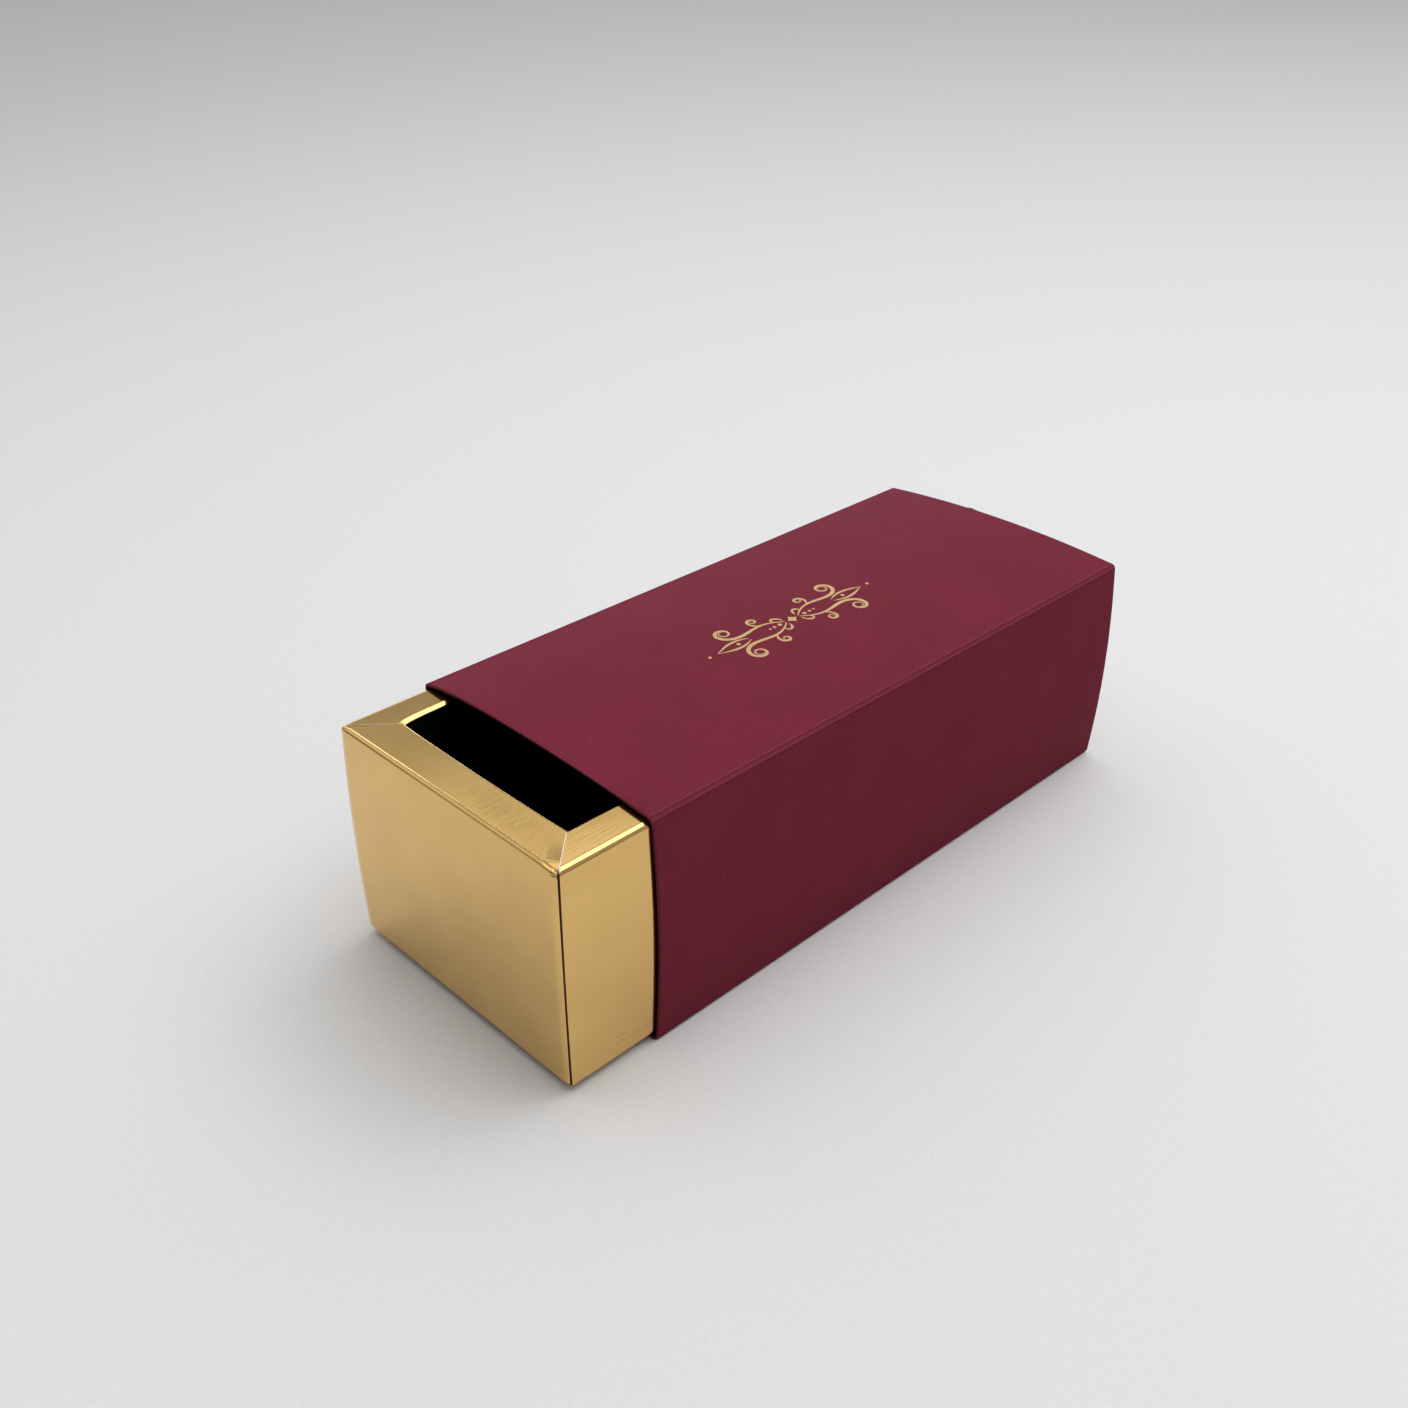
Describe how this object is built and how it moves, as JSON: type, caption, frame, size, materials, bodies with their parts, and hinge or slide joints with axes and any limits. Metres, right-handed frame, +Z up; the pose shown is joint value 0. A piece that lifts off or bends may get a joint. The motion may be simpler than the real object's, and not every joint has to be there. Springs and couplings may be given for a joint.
{
  "type": "sliding drawer gift box",
  "caption": "Long lidless card drawer with folded hollow walls and a dark liner, sliding in an open-ended board sleeve with a crowned top.",
  "frame": {"origin": "bottom centre of the whole box as it stands, with the drawer drawn part of the way", "axes": "+Z up, -Y is the way the drawer opens, +X to the right as seen from the drawer's front"},
  "size_m": [0.1038, 0.2506, 0.0794],
  "materials": {
    "sleeve_board": "soft-touch burgundy paper over board",
    "gold_card": "satin gold metallised film on card",
    "liner_black": "matt black paper lining on board"
  },
  "bodies": {
    "sleeve": {"sleeve_shell": "sleeve_board", "glue_flap": "sleeve_board"},
    "drawer": {"tray_base": "gold_card", "front_wall": "gold_card", "rear_wall": "gold_card", "left_wall": "gold_card", "right_wall": "gold_card", "corner_web_front_left": "gold_card", "corner_web_front_right": "gold_card", "corner_web_rear_left": "gold_card", "corner_web_rear_right": "gold_card", "liner_tray": "liner_black"}
  },
  "joints": [
    {"name": "drawer_slide", "type": "slide", "parent": "sleeve", "child": "drawer", "axis": [0, -1, 0], "range_m": [-0.0306, 0.19]}
  ]
}
